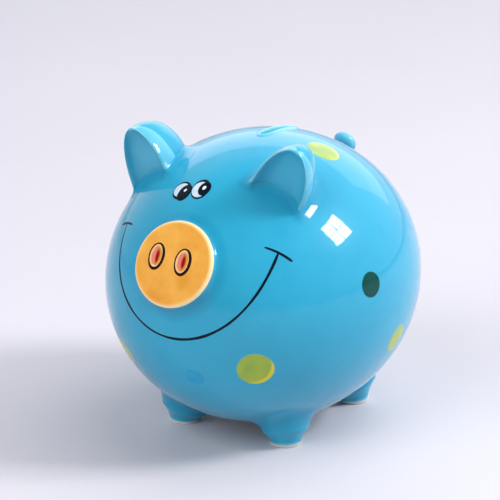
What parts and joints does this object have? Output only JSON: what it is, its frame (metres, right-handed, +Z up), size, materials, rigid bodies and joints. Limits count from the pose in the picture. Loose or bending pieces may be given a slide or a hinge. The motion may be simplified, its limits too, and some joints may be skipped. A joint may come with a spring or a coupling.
{
  "type": "piggy bank",
  "caption": "Glossy ceramic pig-shaped money bank with a round hollow body, coin slot in the back, four stub feet and a rubber stopper in the belly.",
  "frame": {"origin": "middle of the outer box on the table plane, under the belly", "axes": "+Z up, the pig looks along -Y, +X is the pig's own left side"},
  "size_m": [0.126, 0.1468, 0.1319],
  "materials": {
    "blue_glaze": "glossy sky-blue glaze, thinner on edges",
    "orange_glaze": "glossy orange-yellow glaze, cream at the rim",
    "soft_rubber": "off-white soft plastic rubber, satin",
    "ink_enamel": "fired-on black-blue line under gloss",
    "white_enamel": "fired-on greyish white",
    "brown_enamel": "fired-on dark brown line",
    "red_glaze": "pooled red glaze",
    "yellow_enamel": "fired-on yellow-green",
    "green_enamel": "fired-on dark green",
    "deep_blue_enamel": "fired-on blue, a shade deeper than the ground"
  },
  "bodies": {
    "pig": {"body_shell": "blue_glaze", "snout": "orange_glaze", "ear_left": "blue_glaze", "ear_right": "blue_glaze", "foot_front_left": "blue_glaze", "foot_front_right": "blue_glaze", "foot_rear_left": "blue_glaze", "foot_rear_right": "blue_glaze", "tail": "blue_glaze", "smile_line": "ink_enamel", "eye_whites": "white_enamel", "eye_outlines": "ink_enamel", "eye_glints": "white_enamel", "nostril_rings": "brown_enamel", "nostril_reds": "red_glaze", "spots_yellow": "yellow_enamel", "spots_green": "green_enamel", "spots_blue": "deep_blue_enamel"},
    "stopper": {"stopper": "soft_rubber"}
  },
  "joints": [
    {"name": "stopper_pull", "type": "slide", "parent": "pig", "child": "stopper", "axis": [0, 0, -1], "range_m": [0, 0.03]}
  ]
}
